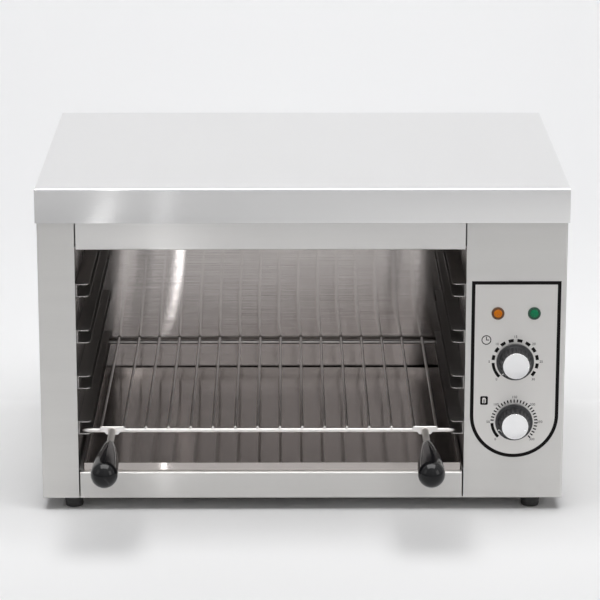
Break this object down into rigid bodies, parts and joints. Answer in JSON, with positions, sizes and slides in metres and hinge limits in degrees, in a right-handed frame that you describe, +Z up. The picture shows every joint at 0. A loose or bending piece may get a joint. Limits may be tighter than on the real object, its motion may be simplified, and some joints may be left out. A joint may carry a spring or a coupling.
{
  "type": "electric salamander grill",
  "caption": "Open-front countertop salamander grill in brushed steel: sliding wire rack with ball-ended handles, stacked runners, crumb tray, timer and thermostat knobs, pilot lamps.",
  "frame": {"origin": "on the worktop, under the middle of the outer box with handles and gland", "axes": "+X to the right as seen from the front, +Y to the back, +Z up"},
  "size_m": [0.57, 0.558, 0.36],
  "materials": {
    "hood_steel": "satin brushed",
    "casing_steel": "satin brushed",
    "panel_plate": "satin, printed black outline and scales",
    "cavity_steel": "bright rolled",
    "runner_steel": "bright rolled",
    "rack_wire": "bright plated",
    "grip_plastic": "glossy moulded",
    "tray_steel": "satin",
    "knob_plastic": "semi-gloss moulded",
    "cap_metal": "spun, satin",
    "shaft_steel": "turned",
    "case_plastic": "moulded",
    "bezel_plastic": "moulded",
    "amber_glass": "clear moulded",
    "green_glass": "clear moulded",
    "heater_metal": "heat-darkened",
    "blanket": "ceramic fibre",
    "bulb_metal": "copper",
    "ceramic": "glazed",
    "wire_cover": "braided glass sleeve",
    "gland_plastic": "moulded",
    "foot_rubber": "moulded",
    "screw_steel": "zinc plated"
  },
  "bodies": {
    "root": {"amber_lamp_lens": "amber_glass", "bottom_plate": "casing_steel", "bottom_screws": "screw_steel", "bulb_clip": "bulb_metal", "cable_gland": "gland_plastic", "cavity_back_wall": "cavity_steel", "cavity_left_wall": "cavity_steel", "cavity_right_wall": "cavity_steel", "ceiling_insulation": "blanket", "ceiling_reflector": "cavity_steel", "control_panel": "panel_plate", "deck_plate": "casing_steel", "element_supports": "heater_metal", "fascia_panel": "casing_steel", "feet": "foot_rubber", "foot_screws": "screw_steel", "gland_nut": "gland_plastic", "green_lamp_lens": "green_glass", "heating_element_front": "heater_metal", "heating_element_middle": "heater_metal", "heating_element_rear": "heater_metal", "hood_cover": "hood_steel", "hood_screws": "screw_steel", "inner_wiring": "wire_cover", "lamp_bezels": "bezel_plastic", "lamp_cases": "case_plastic", "left_casing": "casing_steel", "rear_panel": "casing_steel", "rear_screws": "screw_steel", "right_casing": "casing_steel", "runner_left_1": "runner_steel", "runner_left_2": "runner_steel", "runner_left_3": "runner_steel", "runner_left_4": "runner_steel", "runner_right_1": "runner_steel", "runner_right_2": "runner_steel", "runner_right_3": "runner_steel", "runner_right_4": "runner_steel", "terminal_block": "ceramic", "thermostat_bulb": "bulb_metal", "thermostat_capillary": "bulb_metal", "thermostat_case": "case_plastic", "timer_case": "case_plastic"},
    "rack": {"handle_bracket_left": "rack_wire", "handle_bracket_right": "rack_wire", "handle_grip_left": "grip_plastic", "handle_grip_right": "grip_plastic", "handle_stud_left": "rack_wire", "handle_stud_right": "rack_wire", "rack_front_rod": "rack_wire", "rack_rear_rod": "rack_wire", "rack_wires": "rack_wire"},
    "crumb_tray": {"crumb_tray": "tray_steel"},
    "timer_knob": {"timer_knob": "knob_plastic", "timer_knob_cap": "cap_metal", "timer_shaft": "shaft_steel"},
    "thermostat_knob": {"thermostat_knob": "knob_plastic", "thermostat_knob_cap": "cap_metal", "thermostat_shaft": "shaft_steel"}
  },
  "joints": [
    {"name": "rack_slide", "type": "slide", "parent": "root", "child": "rack", "axis": [0, -1, 0], "range_m": [0, 0.375]},
    {"name": "tray_slide", "type": "slide", "parent": "root", "child": "crumb_tray", "axis": [0, -1, 0], "range_m": [0, 0.37]},
    {"name": "timer_turn", "type": "hinge", "parent": "root", "child": "timer_knob", "pos_m": [0.2292, -0.1335, 0.1685], "axis": [0, 1, 0], "range_deg": [0, 270]},
    {"name": "thermostat_turn", "type": "hinge", "parent": "root", "child": "thermostat_knob", "pos_m": [0.2292, -0.1335, 0.1005], "axis": [0, 1, 0], "range_deg": [-17, 253]}
  ]
}
